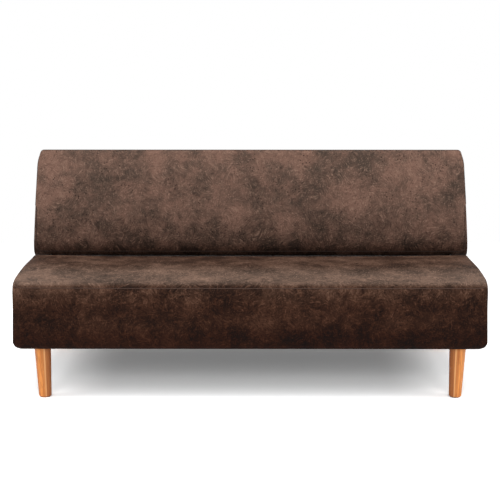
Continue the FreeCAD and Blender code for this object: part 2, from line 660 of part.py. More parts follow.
for name, side in SIDES.items():
    stile = block(STILE_INNER, END_FACE, BACK_FRAME_NEAR, BACK_FRAME_FAR, BACK_FRAME_UNDER, BACK_FRAME_TOP)
    bolt_holes = [mirrored(hole, side) for hole in back_bolt_holes]
    shaped = back_fill.common(mirrored(stile, side))
    save_back(f"back_{name}_stile", shaped.cut(back_screw_holes + bolt_holes + back_arm_blanks))
save_back("back_frame_screws", fasteners(FRAME_SCREW, back_screw_places))

board_near = BACK_NEAR + BACK_HEEL_RADIUS
board_far = BACK_FAR - BACK_TOP_RADIUS
board_half = HALF_WIDTH - END_FILLET
board = block(-board_half, board_half, board_near, board_far, BACK_BOARD_UNDER, BACK_FRAME_UNDER)
save_back("back_board", board)

# A slot at each end lets the hinge arm through the cover, the foam and the end slat
back_slot = block(
    BACK_ARM_X - SLOT_MARGIN,
    BACK_ARM_X + HINGE_PLATE + SLOT_MARGIN,
    PIVOT.y,
    PIVOT.y + ARM_PAD_START,
    PIVOT.z - ARM_PAD_DEPTH + SLOT_MARGIN,
    PIVOT.z + HUB_RADIUS / 2,
)
back_slots = [mirrored(back_slot, side) for side in SIDES.values()]
slats = slat_row(BACK_FRAME_NEAR, BACK_FRAME_FAR, BACK_FRAME_TOP)
save_back("back_slats", [back_fill.common(slat).cut(back_slots) for slat in slats])
back_foam_room = block(-HALF_WIDTH, HALF_WIDTH, BACK_NEAR, BACK_FAR, BACK_FOAM_UNDER, 2 * SEAT_HEIGHT)
save_back("back_foam", back_fill.common(back_foam_room).cut(back_slots))
top_room = block(-END_FACE, END_FACE, BACK_FRAME_FAR, BACK_FAR, BACK_FRAME_UNDER, BACK_FOAM_UNDER)
save_back("back_top_padding", back_fill.common(top_room))
for name, side in SIDES.items():
    end_room = block(END_FACE, HALF_WIDTH, BACK_NEAR, BACK_FAR, BACK_FRAME_UNDER, BACK_FOAM_UNDER)
    save_back(f"back_{name}_padding", back_fill.common(mirrored(end_room, side)))
save_back("back_cover", back_outside.cut([back_inside] + back_slots))
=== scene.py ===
# %% [markdown]
# # An armless futon in worn leather
# This lesson dresses the construction model of a futon, called the frame: a padded seat on a wooden base
# with four turned legs, and a padded back that folds down flat behind it. Most hard pieces stay and get
# finishes. Soft pieces and legs are replaced by fuller forms. Units are metres, with the front at -Y.

# %% Load the frame and measure it
import json
import math

import bpy
import numpy as np
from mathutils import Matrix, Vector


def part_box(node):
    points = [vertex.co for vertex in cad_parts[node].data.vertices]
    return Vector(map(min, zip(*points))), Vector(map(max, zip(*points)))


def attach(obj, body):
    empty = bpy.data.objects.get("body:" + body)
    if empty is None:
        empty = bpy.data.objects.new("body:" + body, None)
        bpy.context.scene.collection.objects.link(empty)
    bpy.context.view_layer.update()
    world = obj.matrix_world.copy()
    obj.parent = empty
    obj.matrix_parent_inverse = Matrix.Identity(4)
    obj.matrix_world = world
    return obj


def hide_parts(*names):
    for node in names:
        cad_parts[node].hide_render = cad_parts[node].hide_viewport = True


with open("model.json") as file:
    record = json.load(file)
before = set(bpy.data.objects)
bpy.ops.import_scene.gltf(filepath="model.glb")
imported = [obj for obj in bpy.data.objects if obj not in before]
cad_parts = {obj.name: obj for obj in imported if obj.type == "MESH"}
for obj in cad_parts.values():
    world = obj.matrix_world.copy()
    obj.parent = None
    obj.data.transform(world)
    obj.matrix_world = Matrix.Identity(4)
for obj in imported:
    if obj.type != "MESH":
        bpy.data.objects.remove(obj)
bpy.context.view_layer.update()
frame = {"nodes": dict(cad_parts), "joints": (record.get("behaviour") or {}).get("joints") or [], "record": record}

scene = bpy.context.scene

# %% [markdown]
# ## The camera
# The futon was photographed from the front with a long lens, from about a metre above the seat and a
# touch to the right of its middle. A camera can be matched by hand or from measurements. Here its place,
# tilt, turn and lens come from the lines of the seat and the back in the picture, which is square.

# %% Place the camera
CAMERA_PLACE = (0.019, -5.292, 1.522)
CAMERA_TILT = math.radians(90 - 11.134)
CAMERA_TURN = math.radians(0.223)
CAMERA_LENS = 101.04

camera_data = bpy.data.cameras.new("studio_camera")
camera_data.lens = CAMERA_LENS
camera = bpy.data.objects.new("studio_camera", camera_data)
camera.location = CAMERA_PLACE
camera.rotation_euler = (CAMERA_TILT, 0, CAMERA_TURN)
scene.collection.objects.link(camera)
scene.camera = camera
print("camera", CAMERA_PLACE, "lens", CAMERA_LENS)

# %% [markdown]
# ## Meshes from arrays
# Every new piece is worked out as arrays of points and faces. One helper turns them into a smooth mesh
# object at the origin, so that the place of a piece is in its mesh and a pattern on it stays put.


# %% Helpers for meshes
def make_piece(name, points, faces, body):
    """Mesh object from an array of points and a list of face arrays, riding on one body."""
    mesh = bpy.data.meshes.new(name)
    listed = [face for group in faces for face in group.tolist()]
    mesh.from_pydata(points.reshape(-1, 3), [], listed)
    mesh.update()
    mesh.shade_smooth()
    piece = bpy.data.objects.new(name, mesh)
    scene.collection.objects.link(piece)
    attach(piece, body)
    return piece


def read_points(mesh):
    """All points of a mesh as one array."""
    flat = np.zeros(len(mesh.vertices) * 3, dtype=np.float32)
    mesh.vertices.foreach_get("co", flat)
    return flat.reshape(-1, 3).astype(float)


def write_points(mesh, points):
    """Put an array of points back into a mesh."""
    mesh.vertices.foreach_set("co", points.astype(np.float32).ravel())
    mesh.update()


# %% [markdown]
# ## The form of a stuffed block
# The seat and the back are long blocks of foam under a tight cover. A cube with bevels would do for a
# sketch, but the corners of the real ones differ: the front edge of the seat is a fat roll, the hem
# below is tighter. So the end view is drawn first, as four corner circles joined by crowned sides.


# %% The outline seen from the end
CORNER_STEPS = 5


def outline_quarter(start, end, from_angle, side_angle, to_angle, crown, steps):
    """Points and outward directions from the middle of one corner to the middle of the next.

    First half of a corner arc, then the line that touches both circles, raised by crown sin(pi t)^2,
    then half of the next arc.
    """
    leaving = np.linspace(from_angle, side_angle, CORNER_STEPS, endpoint=False)
    meeting = np.linspace(side_angle, to_angle, CORNER_STEPS, endpoint=False)
    share = np.linspace(0, 1, steps, endpoint=False)[:, None]
    outward = np.array([math.cos(side_angle), math.sin(side_angle)])
    leave = start[:2] + outward * start[2]
    meet = end[:2] + outward * end[2]
    leaving_way = np.stack([np.cos(leaving), np.sin(leaving)], axis=1)
    meeting_way = np.stack([np.cos(meeting), np.sin(meeting)], axis=1)
    side = leave + (meet - leave) * share + outward * crown * np.sin(np.pi * share) ** 2
    points = np.concatenate([start[:2] + leaving_way * start[2], side, end[:2] + meeting_way * end[2]])
    ways = np.concatenate([leaving_way, np.repeat(outward[None], steps, axis=0), meeting_way])
    return points, ways


def outline(low, high, radii, shrink, crowns, steps):
    """Closed outline of a box with four corner circles, made smaller by shrink, turning left all the way.

    The direction square to a side leans by asin((r1 - r2) / distance), so the side touches both circles.
    """
    radii = np.array(radii)
    across = np.array([low[0], high[0], high[0], low[0]]) + radii * [1, -1, -1, 1]
    up = np.array([low[1], low[1], high[1], high[1]]) + radii * [1, 1, -1, -1]
    circles = np.stack([across, up, radii - shrink], axis=1)
    following = np.roll(circles, -1, axis=0)
    span = following - circles
    length = np.hypot(span[:, 0], span[:, 1])
    along = np.arctan2(span[:, 1], span[:, 0])
    side_angles = np.unwrap(along - np.pi / 2 + np.arcsin(-span[:, 2] / length))
    before = np.roll(side_angles, 1)
    before[0] -= 2 * np.pi
    middles = (before + side_angles) / 2
    ends = np.append(middles[1:], middles[0] + 2 * np.pi)
    rows = zip(circles, following, middles, side_angles, ends, crowns, (*steps, *steps))
    quarters = [outline_quarter(*row) for row in rows]
    points = np.concatenate([quarter[0] for quarter in quarters])
    ways = np.concatenate([quarter[1] for quarter in quarters])
    return points, ways


# %% [markdown]
# The outline is then carried along the width. Towards each end it shrinks as it moves out, which rounds
# the end edge. A fan of triangles could close an end, but its spokes would show on a soft surface. Here
# an end is a patch of squares that is spanned between the four sides of the last ring.


# %% The block carried along the width
END_STEPS = 5


def spanned_patch(ring, across, up):
    """Grid inside a closed ring: the two ruled surfaces between opposite sides, added up, minus the
    surface that is straight both ways through the four corners."""
    low = ring[:across + 1][:, None]
    high = ring[across + up:2 * across + up + 1][::-1][:, None]
    near = np.concatenate([ring[2 * across + up:], ring[:1]])[::-1][None]
    far = ring[across:across + up + 1][None]
    u = np.linspace(0, 1, across + 1)[:, None, None]
    v = np.linspace(0, 1, up + 1)[None, :, None]
    ruled = low * (1 - v) + high * v + near * (1 - u) + far * u
    level = (low[0] * (1 - u) + low[-1] * u) * (1 - v) + (high[0] * (1 - u) + high[-1] * u) * v
    return ruled - level


def patch_indexes(first_of_ring, first_inside, across, up):
    """Index of each point of an end patch: the ring's own points at its border, new ones inside."""
    count = 2 * (across + up)
    table = np.zeros((across + 1, up + 1), dtype=int)
    table[1:-1, 1:-1] = first_inside + np.arange((across - 1) * (up - 1)).reshape(across - 1, up - 1)
    table[:, 0] = first_of_ring + np.arange(across + 1)
    table[-1, :] = first_of_ring + across + np.arange(up + 1)
    table[:, -1] = first_of_ring + 2 * across + up - np.arange(across + 1)
    table[0, :] = first_of_ring + (count - np.arange(up + 1)) % count
    return table


def grid_quads(table):
    """Four-sided faces between the neighbours of an index grid."""
    corners = [table[:-1, :-1], table[1:, :-1], table[1:, 1:], table[:-1, 1:]]
    return np.stack(corners, axis=-1).reshape(-1, 4)


def near_corner(across, up):
    """True for the points of an outline that lie on a corner arc: few steps from a corner's middle."""
    step = np.arange(2 * (across + up)) % (across + up)
    level_side = np.minimum(step, across - step)
    upright_side = np.minimum(step - across, across + up - step)
    return np.where(step < across, level_side, upright_side) <= CORNER_STEPS


def stuffed_block(points, ways, steps, half_width, end_radius, end_crown, spacing):
    """Outline carried along X, with rounded end edges and slightly crowned ends.

    At an angle a of the end rounding, a point of the outline stands at half - R + R sin a and is drawn
    in along its normal by R (1 - cos a); R may differ from point to point of the outline. An end is a
    spanned patch, pushed out by crown sin(pi u) sin(pi v). The third result marks the sewn edges.
    """
    turn = np.linspace(0, np.pi / 2, END_STEPS + 1)[1:, None]
    straight = half_width - end_radius[None]
    run = np.linspace(-1, 1, int(round(2 * half_width / spacing)) + 1)[:, None] * straight
    rise = straight + end_radius * np.sin(turn)
    drawn_in = end_radius * (1 - np.cos(turn))
    stations = np.concatenate([-rise[::-1], run, rise])
    insets = np.concatenate([drawn_in[::-1], np.zeros(run.shape), drawn_in])
    rings = points[None] - ways[None] * insets[:, :, None]
    tube = np.concatenate([stations[:, :, None], rings], axis=2)
    count = len(points)
    table = np.arange(len(stations) * count).reshape(len(stations), count)
    faces = [grid_quads(np.concatenate([table, table[:, :1]], axis=1).T)]
    across, up = steps[0] + 2 * CORNER_STEPS, steps[1] + 2 * CORNER_STEPS
    u = np.linspace(0, np.pi, across + 1)[:, None]
    v = np.linspace(0, np.pi, up + 1)[None]
    bulge = end_crown * np.sin(u) * np.sin(v)
    parts = [tube.reshape(-1, 3)]
    sewn = np.broadcast_to(near_corner(across, up), table.shape).copy()
    sewn[:END_STEPS + 1] = True
    sewn[-END_STEPS - 1:] = True
    for row, sign in ((0, -1), (len(stations) - 1, 1)):
        patch = spanned_patch(tube[row], across, up)
        patch[:, :, 0] += sign * bulge
        first_inside = sum(len(part) for part in parts)
        parts.append(patch[1:-1, 1:-1].reshape(-1, 3))
        quads = grid_quads(patch_indexes(row * count, first_inside, across, up))
        faces.append(quads if sign > 0 else quads[:, ::-1])
    return np.concatenate(parts), faces, sewn.ravel()


# %% [markdown]
# ## Stuffing by simulation
# A cover over foam is under tension: its panels swell and the sewn edges between them hold. A cloth
# simulation with pressure finds that shape better than a formula. The block starts slightly too small,
# swells for twenty frames up to a cap, and is then fitted to the size of the frame again.


# %% Swell a block and fit it to a size
STUFFING_PRESSURE = 4.0
STUFFING_FRAMES = 20
SWELLING_CAP = 0.005


def swell(piece, sewn, resting):
    """Swell the panels of a piece by cloth pressure, while its sewn edges hold still.

    All moves are scaled so that the longest is the cap, and what rests on wood moves less.
    """
    before = read_points(piece.data)
    edge = piece.vertex_groups.new(name="sewn")
    edge.add(np.flatnonzero(sewn).tolist(), 1.0, "REPLACE")
    cloth = piece.modifiers.new("stuffing", "CLOTH")
    cloth.settings.vertex_group_mass = edge.name
    cloth.settings.use_pressure = True
    cloth.settings.uniform_pressure_force = STUFFING_PRESSURE
    cloth.settings.effector_weights.gravity = 0
    cloth.collision_settings.use_collision = False
    cloth.point_cache.frame_start = 1
    cloth.point_cache.frame_end = STUFFING_FRAMES
    for step in range(1, STUFFING_FRAMES + 1):
        scene.frame_set(step)
    swollen = piece.evaluated_get(bpy.context.evaluated_depsgraph_get())
    move = read_points(swollen.data) - before
    piece.modifiers.remove(cloth)
    piece.vertex_groups.remove(edge)
    scene.frame_set(1)
    move *= (1 - resting)[:, None]
    longest = np.linalg.norm(move, axis=1).max()
    print(piece.name, "swelled by", round(float(longest) * 1000, 1), "mm before the cap")
    return before + move * (SWELLING_CAP / longest)


def fitted(points, low, high):
    """Points stretched along each axis so that their box is exactly from low to high."""
    box_low, box_high = points.min(axis=0), points.max(axis=0)
    return (points - box_low) / (box_high - box_low) * (np.array(high) - low) + low


def smooth_step(values, start, end):
    """0 before start, 1 after end, and 3 t^2 - 2 t^3 between them."""
    share = np.clip((values - start) / (end - start), 0, 1)
    return share * share * (3 - 2 * share)


# %% [markdown]
# ## The seat
# The seat is a block with a fat front edge, and its cover is drawn down over the wooden base to a hem
# that is stapled under it. Its size comes from the frame: the box of the seat's foam and of the cover.
# The cover hangs a little below the base, and its padded ends stand a little proud of the frame.

# %% Measure the seat
SKIN = 0.0023
HEM_DROP = 0.004
SEAT_CROWN = 0.0056
seat_low, seat_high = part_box("seat_cover")
HALF_WIDTH = seat_high[0]
FRONT, REAR = seat_low[1], seat_high[1]
FLOOR_GAP = seat_low[2] - HEM_DROP
SEAT_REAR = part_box("seat_foam")[1][1] + SKIN
SEAT_CREST = seat_high[2]
SEAT_TOP = SEAT_CREST - SEAT_CROWN
print("seat from", round(FRONT, 3), "to", round(SEAT_REAR, 3), "and up to", round(SEAT_CREST, 3))

# %% Draw the seat from the end and swell it
GRID = 0.0125
SWELLING = 0.003
HEM_RADIUS = 0.022
FRONT_ROLL, REAR_ROLL = 0.040, 0.042
SKIRT_CROWN = 0.003
END_CROWN = 0.001
TOP_EDGE, MORE_AT_HEM = 0.005, 0.005
PROUD = 0.005
SEAT_STEPS = (40, 14)
seat_radii = (HEM_RADIUS, HEM_RADIUS, REAR_ROLL, FRONT_ROLL)
seat_crowns = (0, 0, SEAT_CROWN, SKIRT_CROWN)
seat_ring, seat_ways = outline(
    (FRONT, FLOOR_GAP), (SEAT_REAR, SEAT_TOP), seat_radii, SWELLING, seat_crowns, SEAT_STEPS
)
seat_ends = TOP_EDGE + MORE_AT_HEM * smooth_step(-seat_ways[:, 1], 0.1, 0.9)
seat_points, seat_faces, seat_sewn = stuffed_block(
    seat_ring, seat_ways, SEAT_STEPS, HALF_WIDTH - SWELLING, seat_ends, END_CROWN, GRID
)
seat = make_piece("seat_cushion", seat_points, seat_faces, "base")
# The lowest centimetre is stapled to wood, and above it the cover gets free to swell.
stapled = 1 - smooth_step(seat_points[:, 2], FLOOR_GAP + 0.01, FLOOR_GAP + 0.08)
seat_points = swell(seat, seat_sewn, stapled)
seat_reach = HALF_WIDTH + PROUD
seat_points = fitted(seat_points, (-seat_reach, FRONT, FLOOR_GAP), (seat_reach, SEAT_REAR, SEAT_CREST))
print("seat", len(seat_points), "points")

# %% [markdown]
# The cover isn't a plain box: its ends bulge, the ends of its top stand higher, it widens over the base
# and its lower corners are rounded. Sculpting could give that, but not the same twice, so each is a
# formula on all points. Inside the hem the underside is raised, so that the lining shows there.

# %% Shape the ends, the corners and the underside
END_BULGE = 0.0055
END_LIFT = 0.0045
FLARE = 0.005
FLARE_TOP = SEAT_TOP - 0.08
LOW_CORNER = 0.0355
LOW_SPAN = 0.12
HEM = 0.033
HEM_EASE = 0.004
LINING_RECESS = 0.0065


def padded_ends(points):
    """Widen the seat by x (1 + b sin(pi sqrt(d))^2) at depth d, 0 in front to 1 behind, eased in at the
    front, and lift the ends of the top by a smooth step towards the end times one towards the top."""
    moved = points.copy()
    depth = np.clip((points[:, 1] - FRONT) / (SEAT_REAR - FRONT), 0, 1)
    moved[:, 0] *= 1 + END_BULGE * np.sin(np.pi * np.sqrt(depth)) ** 2 * smooth_step(depth, 0.04, 0.16)
    towards_end = smooth_step(np.abs(moved[:, 0]), 0.55 * HALF_WIDTH, HALF_WIDTH)
    towards_top = smooth_step(points[:, 2], SEAT_TOP - 0.06, SEAT_TOP - 0.01)
    moved[:, 2] += END_LIFT * towards_end * towards_top
    return moved


def drawn_over_base(points):
    """Widen the lower part, x (1 + flare), and round its two lower corners as seen from the front.

    A point at a distance d inside a corner of radius R is lifted by R - sqrt(R^2 - d^2), less further up.
    """
    moved = points.copy()
    moved[:, 0] *= 1 + FLARE * (1 - smooth_step(points[:, 2], FLOOR_GAP, FLARE_TOP))
    reach = np.abs(moved[:, 0])
    past = np.clip(reach - (reach.max() - LOW_CORNER), 0, LOW_CORNER)
    lift = LOW_CORNER - np.sqrt(LOW_CORNER ** 2 - past ** 2)
    share = np.clip((points[:, 2] - FLOOR_GAP) / LOW_SPAN, 0, 1)
    moved[:, 2] += lift * (1 - share) ** 2
    return moved


def raise_underside(points, rear_hem):
    """Lift what lies inside the hem by a product of smooth steps, so that the hem stands out below it."""
    inside_x = smooth_step(HALF_WIDTH - HEM - np.abs(points[:, 0]), -HEM_EASE, HEM_EASE)
    inside_front = smooth_step(points[:, 1] - FRONT - HEM, -HEM_EASE, HEM_EASE)
    inside_rear = smooth_step(rear_hem - points[:, 1], -HEM_EASE, HEM_EASE)
    below = 1 - smooth_step(points[:, 2], FLOOR_GAP + 0.002, FLOOR_GAP + 0.02)
    lifted = points.copy()
    lifted[:, 2] += (LINING_RECESS + HEM_DROP) * inside_x * inside_front * inside_rear * below
    return lifted


seat_points = raise_underside(drawn_over_base(padded_ends(seat_points)), REAR)
write_points(seat.data, seat_points)
print("seat", round(float(np.ptp(seat_points[:, 0])), 3), "m wide over its padded ends")

# %% [markdown]
# ## The band behind the seat
# Behind the seat, the same cover runs on over the low part of the base that carries the folded back.
# It lies tight over wooden rails, so it needs no stuffing: a block with small roundings is enough. It
# starts a little inside the seat and widens downwards like it, so that the two meet in a shallow seam.

# %% Build the rear band
BAND_OVERLAP = 0.040
BAND_STEP_IN = 0.002
BAND_CROWN = 0.001
BAND_END_RADIUS, BAND_END_CROWN = 0.016, 0.0005
BAND_STEPS = (20, 6)
band_start = SEAT_REAR - BAND_OVERLAP
band_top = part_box("rear_deck")[1][2] + SKIN
band_radii = [HEM_RADIUS] * 4
band_crowns = (0, BAND_CROWN, BAND_CROWN, 0)
band_ring, band_ways = outline(
    (band_start, FLOOR_GAP), (REAR, band_top), band_radii, 0, band_crowns, BAND_STEPS
)
band_ends = np.full(len(band_ring), BAND_END_RADIUS)
band_half = HALF_WIDTH + PROUD - BAND_STEP_IN
band_points, band_faces, _ = stuffed_block(
    band_ring, band_ways, BAND_STEPS, band_half, band_ends, BAND_END_CROWN, GRID
)
band_points = raise_underside(drawn_over_base(band_points), REAR - HEM)
band = make_piece("rear_band", band_points, band_faces, "base")
print("rear band", len(band.data.vertices), "points")

# %% [markdown]
# ## The back
# The back is a flatter block that leans. Its outline is simple only while it lies flat, so it is drawn
# flat behind the seat, as in the bed position, and turned up about the hinge line. Angle and line come
# from the joint of the frame, and the size from the frame's cover, turned down flat.

# %% Measure the back
hinge = next(joint for joint in frame["joints"] if joint["name"] == "back_recline")
HINGE_LINE = np.array(hinge["pos_m"])
FOLD = math.radians(hinge["range_deg"][1])


def turned(points, angle):
    """Points turned about the hinge line, from +Y towards +Z."""
    moved = points - HINGE_LINE
    up = moved[:, 1] * math.sin(angle) + moved[:, 2] * math.cos(angle)
    across = moved[:, 1] * math.cos(angle) - moved[:, 2] * math.sin(angle)
    return np.stack([moved[:, 0], across, up], axis=1) + HINGE_LINE


flat_cover = turned(read_points(frame["nodes"]["back_cover"].data), -FOLD)
back_low, back_high = flat_cover.min(axis=0), flat_cover.max(axis=0)
print("back, lying flat, from", back_low.round(3), "to", back_high.round(3))

# %% Build the back
BACK_CROWN = 0.0055
BACK_PROUD = 0.0115
BACK_TAPER = 0.0145
TOP_EASING = 0.0138
BACK_EDGE, MORE_AT_TOP = 0.003, 0.006
HEEL_ROLL, TOP_ROLL, CREASE_ROLL = 0.030, 0.028, 0.045
BACK_FACE = back_high[2] - BACK_CROWN
BACK_STEPS = (28, 6)
back_radii = (HEEL_ROLL, TOP_ROLL, TOP_ROLL, CREASE_ROLL)
back_crowns = (0, 0, BACK_CROWN, 0)
back_ring, back_ways = outline(
    back_low[1:], (back_high[1], BACK_FACE), back_radii, SWELLING, back_crowns, BACK_STEPS
)
back_ends = BACK_EDGE + MORE_AT_TOP * smooth_step(back_ways[:, 0], 0.2, 1.0)
back_points, back_faces, back_sewn = stuffed_block(
    back_ring, back_ways, BACK_STEPS, HALF_WIDTH - SWELLING, back_ends, END_CROWN, GRID
)
back = make_piece("back_cushion", back_points, back_faces, "back")
# The rear of the back is tight over its board, and in front of that it swells.
boarded = 1 - smooth_step(back_points[:, 2], back_low[2] + 0.01, back_low[2] + 0.05)
back_points = swell(back, back_sewn, boarded)
proud = np.array([BACK_PROUD, 0, 0])
back_points = fitted(back_points, back_low - proud, back_high + proud)
# It tapers a little all the way up, and once more where the top corners are eased.
length = back_points[:, 1]
narrowing = BACK_TAPER * smooth_step(length, back_low[1], back_high[1])
narrowing += TOP_EASING * smooth_step(length, back_high[1] - 0.068, back_high[1] + 0.005)
back_points[:, 0] *= 1 - narrowing
write_points(back.data, turned(back_points, FOLD))
print("back", len(back.data.vertices), "points")

# %% [markdown]
# The blocks are meshes of squares of about 12 mm. One level of subdivision makes their curves smooth
# without hiding the form. Each stuffed piece stands for the cover, the foam and the padding under it.

# %% Finish the stuffed blocks
for cushion in (seat, back, band):
    rounding = cushion.modifiers.new("rounding", "SUBSURF")
    rounding.levels = 1
    rounding.render_levels = 1
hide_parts("seat_cover", "seat_foam", "seat_felt_pad", "front_edge_padding")
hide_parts("left_edge_padding", "right_edge_padding")
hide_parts("rear_edge_padding")
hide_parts("back_cover", "back_foam", "back_left_padding", "back_right_padding", "back_top_padding")
print("padded pieces", [cushion.name for cushion in (seat, back, band)])

# %% [markdown]
# ## Finishes as arithmetic
# A finish is a sum of patterns, so it reads best as arithmetic. A small class wraps a socket, and each
# operator on it adds one Math node. Every other node comes from one method, which takes the node's
# type, its settings and what goes into its sockets.


# %% Shader sockets that can be added and multiplied
class Socket:
    """An output of a node tree that takes part in arithmetic."""

    def __init__(self, finish, output):
        self.finish = finish
        self.output = output

    def maths(self, operation, first, second):
        """One Math node on two values."""
        return self.finish.node("ShaderNodeMath", {"operation": operation}, {0: first, 1: second})

    def __add__(self, other):
        return self.maths("ADD", self, other)

    __radd__ = __add__

    def __sub__(self, other):
        return self.maths("SUBTRACT", self, other)

    def __rsub__(self, other):
        return self.maths("SUBTRACT", other, self)

    def __mul__(self, other):
        return self.maths("MULTIPLY", self, other)

    __rmul__ = __mul__

    def __pow__(self, other):
        return self.maths("POWER", self, other)

    def __rpow__(self, other):
        return self.maths("POWER", other, self)


class Finish:
    """The node tree of a material or of the world, built one node at a time."""

    def __init__(self, owner):
        owner.use_nodes = True
        self.owner = owner
        self.tree = owner.node_tree
        self.tree.nodes.clear()

    def node(self, kind, settings, inputs, output=0):
        """Add a node: its settings first, then values or links for its inputs; gives one output."""
        made = self.tree.nodes.new(kind)
        for name, value in settings.items():
            setattr(made, name, value)
        for name, value in inputs.items():
            if isinstance(value, Socket):
                self.tree.links.new(value.output, made.inputs[name])
            else:
                made.inputs[name].default_value = value
        return Socket(self, made.outputs[output]) if len(made.outputs) else made

    def place(self):
        """Where a point lies on the object."""
        return self.node("ShaderNodeTexCoord", {}, {}, "Object")

    def axes(self, vector):
        """The three numbers of a vector."""
        split = self.node("ShaderNodeSeparateXYZ", {}, {0: vector})
        return [Socket(self, output) for output in split.output.node.outputs]

    def stretched(self, vector, scale, turn=(0, 0, 0)):
        """A vector turned and scaled for a pattern that runs one way."""
        return self.node("ShaderNodeMapping", {}, {"Vector": vector, "Rotation": turn, "Scale": scale})

    def bent(self, vector, scale, reach):
        """A vector pushed about by a cloudy field, so that a pattern that runs one way swirls."""
        clouds = {"Vector": vector, "Scale": scale, "Detail": 1.0}
        field = self.node("ShaderNodeTexNoise", {}, clouds, "Color")
        push = {0: field, 1: (reach, reach, reach), 2: vector}
        return self.node("ShaderNodeVectorMath", {"operation": "MULTIPLY_ADD"}, push)

    def noise(self, vector, scale, detail, roughness=0.5):
        """Cloudy pattern between 0 and 1."""
        inputs = {"Vector": vector, "Scale": scale, "Detail": detail, "Roughness": roughness}
        return self.node("ShaderNodeTexNoise", {}, inputs)

    def cells(self, vector, scale, feature):
        """Distance to the middles or the edges of scattered cells."""
        inputs = {"Vector": vector, "Scale": scale}
        return self.node("ShaderNodeTexVoronoi", {"feature": feature}, inputs, "Distance")

    def between(self, value, low, high):
        """0 below low, 1 above high and smooth between them."""
        inputs = {"Value": value, "From Min": low, "From Max": high}
        return self.node("ShaderNodeMapRange", {"interpolation_type": "SMOOTHSTEP"}, inputs)

    def mix(self, factor, first, second, blend="MIX"):
        """Two colours mixed by a factor; sockets 6, 7 and output 2 are the node's colour ones."""
        settings = {"data_type": "RGBA", "blend_type": blend}
        return self.node("ShaderNodeMix", settings, {0: factor, 6: first, 7: second}, 2)

    def surface(self, colour, roughness, bump, gloss=0.5, metal=0.0):
        """Close the tree with the main shader; bump is a height pattern, its strength and its distance."""
        relief = dict(zip(("Height", "Strength", "Distance"), bump))
        inputs = {"Base Color": colour, "Roughness": roughness, "Metallic": metal}
        inputs["Specular IOR Level"] = gloss
        inputs["Normal"] = self.node("ShaderNodeBump", {}, relief)
        shader = self.node("ShaderNodeBsdfPrincipled", {}, inputs)
        self.node("ShaderNodeOutputMaterial", {}, {"Surface": shader})
        return self.owner


def new_finish(name):
    """The finish of a new material, and where a point lies on the object."""
    finish = Finish(bpy.data.materials.new(name))
    return finish, finish.place()


def tint(red, green, blue):
    """Colour from the 0 to 255 numbers of a screen, as the light values that shaders use."""
    share = np.array([red, green, blue]) / 255
    linear = np.where(share <= 0.04045, share / 12.92, ((share + 0.055) / 1.055) ** 2.4)
    return (*linear.tolist(), 1.0)


# %% [markdown]
# ## Worn leather
# The cover looks like distressed leather: reddish brown where it is rubbed, grey brown in soft blotches,
# a fine brushed grain that runs every way, small dark pits in clusters, and on the darker skirt pale
# crackled veins. A picture of leather would show its borders. Here each mark is one pattern on the
# object's own coordinates, and the tone of a panel, which carries painted shade and light, is a last
# factor on the colour.


# %% The leather
GREY_BROWN = tint(74, 61, 53)
PALE_GRAIN = tint(154, 124, 107)
DARK_GRAIN = tint(52, 39, 33)
PIT_BROWN = tint(44, 31, 26)
VEIN_TAN = tint(176, 146, 128)


def brushed_grain(finish, place):
    """Two brushed noises that run two ways and swirl, plus a speckle, less their mean."""
    bent = finish.bent(place, 10.0, 0.14)
    one_way = finish.stretched(bent, (55, 55, 260), (0.7, 0.65, 0.3))
    other_way = finish.stretched(bent, (260, 55, 55), (0.5, 0.7, -0.4))
    speckle = finish.noise(place, 210.0, 3.0, 0.6)
    return finish.noise(one_way, 1.0, 2.0) + finish.noise(other_way, 1.0, 2.0) + speckle - 1.5


def dyed_and_shaded(finish, colour, tone, warmth):
    """Red times tone, green times tone^(1 + d), blue times tone^(1 + 1.65 d), d = warmth (1 - tone)."""
    # The tone carries the painted shade and light of a panel as well as its dye.
    deep = (1 - tone) * warmth
    green, blue = tone ** (1 + deep), tone ** (1 + deep * 1.65)
    shade = finish.node("ShaderNodeCombineColor", {}, {0: tone, 1: green, 2: blue})
    return finish.mix(1.0, colour, shade, "MULTIPLY")


def leather(name, tone_of, vein_of, warmth, rubbed, dye):
    """Worn leather; tone_of and vein_of give its lightness, painted shade and light included, and its
    crackle from the coordinates.

    The darker the tone, the more it follows the blotches. Warmth is how much redder a dark tone is,
    rubbed is the colour where the dye has worn off, and dye is a last factor on the tone of a panel.
    """
    finish, place = new_finish(name)
    _, y, z = finish.axes(place)
    tone = tone_of(finish, y, z)
    drift = finish.noise(place, 5.5, 2.0)
    blotch = finish.noise(place, 12.0, 5.0, 0.6)
    cloud = finish.noise(place, 42.0, 4.0, 0.65)
    grain = brushed_grain(finish, place)
    worn = finish.between(blotch * 0.54 + drift * 0.26 + cloud * 0.20, 0.36, 0.64)
    colour = finish.mix(worn, GREY_BROWN, rubbed)
    light_grain = finish.between(grain, 0.02, 0.42)
    dark_grain = finish.between(0 - grain, 0.02, 0.42)
    colour = finish.mix(light_grain * 0.58, colour, PALE_GRAIN)
    colour = finish.mix(dark_grain * 0.5, colour, DARK_GRAIN)
    cluster = finish.between(finish.noise(place, 14.0, 3.0), 0.50, 0.62)
    pits = (1 - finish.between(finish.cells(place, 78.0, "F1"), 0.12, 0.32)) * cluster
    colour = finish.mix(pits * 0.8, colour, PIT_BROWN)
    veins = 1 - finish.between(finish.cells(place, 52.0, "DISTANCE_TO_EDGE"), 0.0, 0.12)
    broken = finish.between(cloud, 0.46, 0.60)
    colour = finish.mix(veins * broken * vein_of(finish, z), colour, VEIN_TAN)
    sway = worn * 0.8 + drift * 1.2 + (light_grain - dark_grain) * 0.6 - 1.0
    tone = (tone + tone * sway * (1 - tone)) * dye
    colour = dyed_and_shaded(finish, colour, tone, warmth)
    bump = (grain * 0.5 + cloud * 0.4 - pits * 0.8, 0.3, 0.002)
    return finish.surface(colour, 0.74 - light_grain * 0.1, bump, gloss=0.07)
